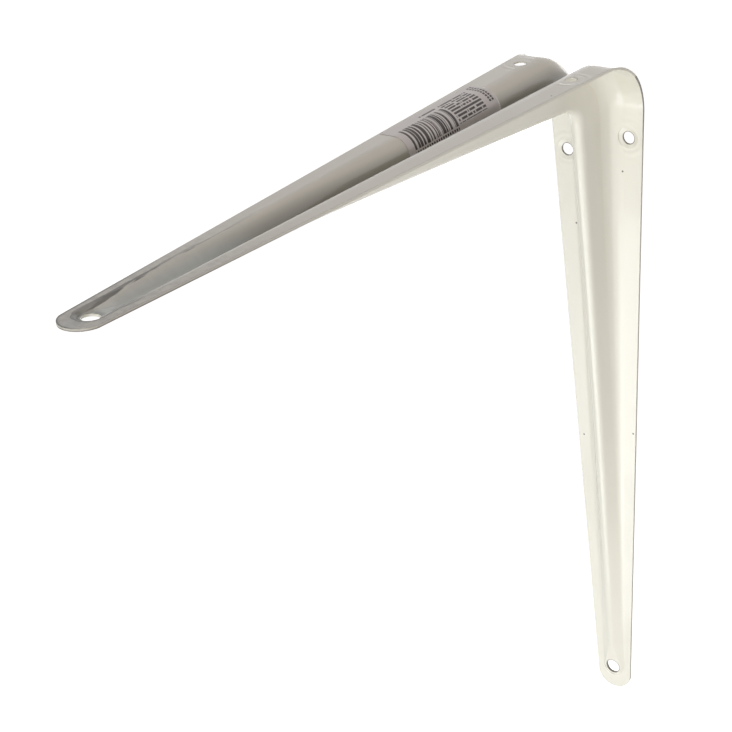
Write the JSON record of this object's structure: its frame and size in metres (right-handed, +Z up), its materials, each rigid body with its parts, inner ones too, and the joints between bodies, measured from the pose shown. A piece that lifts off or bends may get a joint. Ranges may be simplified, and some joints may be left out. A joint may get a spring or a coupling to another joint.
{
  "type": "shelf bracket",
  "caption": "Pressed sheet-steel shelf bracket: tapered arms at a right angle, stiffened by a rib that runs through the bend, with screw holes for wall and shelf.",
  "frame": {"origin": "the corner where the wall plane and the underside of the shelf meet, on the bracket's middle plane", "axes": "+X runs out from the wall under the shelf, +Y lies across the bracket, +Z is up; the wall is at X = 0 and the shelf at Z = 0"},
  "size_m": [0.3, 0.045, 0.3],
  "materials": {
    "paint": "gloss"
  },
  "bodies": {
    "root": {"bracket": "paint"}
  },
  "joints": []
}
